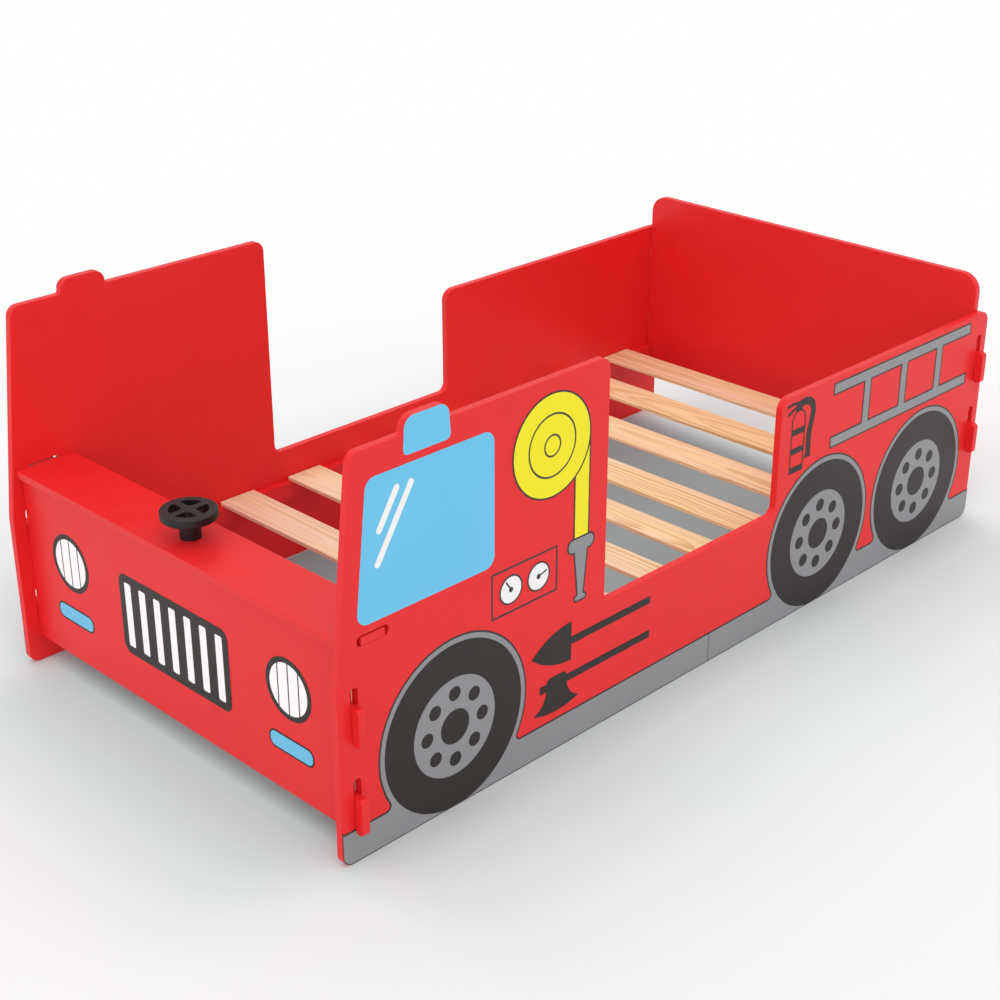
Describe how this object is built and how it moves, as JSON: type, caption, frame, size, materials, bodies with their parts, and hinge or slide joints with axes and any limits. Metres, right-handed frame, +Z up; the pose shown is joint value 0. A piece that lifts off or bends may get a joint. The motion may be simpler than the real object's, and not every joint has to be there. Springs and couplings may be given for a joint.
{
  "type": "fire engine bed",
  "caption": "Child's bed of slotted red boards shaped like a fire engine, with printed sides, a slatted base and a small turning steering wheel on the bonnet.",
  "frame": {"origin": "on the floor under the middle of the bed", "axes": "+X towards the headboard, -X towards the bonnet, +Y towards the engine's right side, +Z up"},
  "size_m": [1.477, 0.776, 0.589],
  "materials": {
    "red_board": "satin red lacquer on fibreboard",
    "pine": "planed bare pine",
    "beech": "bare beech dowel",
    "wheel_plastic": "fine matt texture",
    "bush_plastic": "natural nylon",
    "brass": "turned",
    "steel": "zinc plated",
    "print_charcoal": "satin printed film",
    "print_line": "satin printed film",
    "print_grey": "satin printed film",
    "print_blue": "satin printed film",
    "print_yellow": "satin printed film",
    "print_white": "satin printed film"
  },
  "bodies": {
    "bed": {"bonnet": "red_board", "column_washer": "bush_plastic", "front_flashers": "print_blue", "front_grille": "print_charcoal", "front_grille_bars": "print_white", "front_lamp_glasses": "print_white", "front_lamp_rims": "print_charcoal", "front_panel": "red_board", "headboard": "red_board", "left_beacon": "print_blue", "left_extinguisher": "print_charcoal", "left_gauge_dials": "print_white", "left_hose": "print_yellow", "left_hubs": "print_grey", "left_ladder": "print_grey", "left_line_work": "print_line", "left_nozzle": "print_grey", "left_skirt_front": "print_grey", "left_skirt_rear": "print_grey", "left_tools": "print_charcoal", "left_tyres": "print_charcoal", "left_window": "print_blue", "left_window_glints": "print_white", "rail_screws": "steel", "right_beacon": "print_blue", "right_extinguisher": "print_charcoal", "right_gauge_dials": "print_white", "right_hose": "print_yellow", "right_hubs": "print_grey", "right_ladder": "print_grey", "right_line_work": "print_line", "right_nozzle": "print_grey", "right_skirt_front": "print_grey", "right_skirt_rear": "print_grey", "right_tools": "print_charcoal", "right_tyres": "print_charcoal", "right_window": "print_blue", "right_window_glints": "print_white", "side_panel_left": "red_board", "side_panel_right": "red_board", "slat_01": "pine", "slat_02": "pine", "slat_03": "pine", "slat_04": "pine", "slat_05": "pine", "slat_06": "pine", "slat_07": "pine", "slat_08": "pine", "slat_09": "pine", "slat_10": "pine", "slat_dowels": "beech", "slat_rail_left": "red_board", "slat_rail_right": "red_board", "wheel_bush": "bush_plastic"},
    "steering": {"steering_wheel": "wheel_plastic", "wheel_insert": "brass", "wheel_bolt": "steel", "bolt_washer": "steel"}
  },
  "joints": [
    {"name": "wheel_turn", "type": "hinge", "parent": "bed", "child": "steering", "pos_m": [-0.6746, 0, 0.338], "axis": [0, 0, 1], "continuous": true}
  ]
}
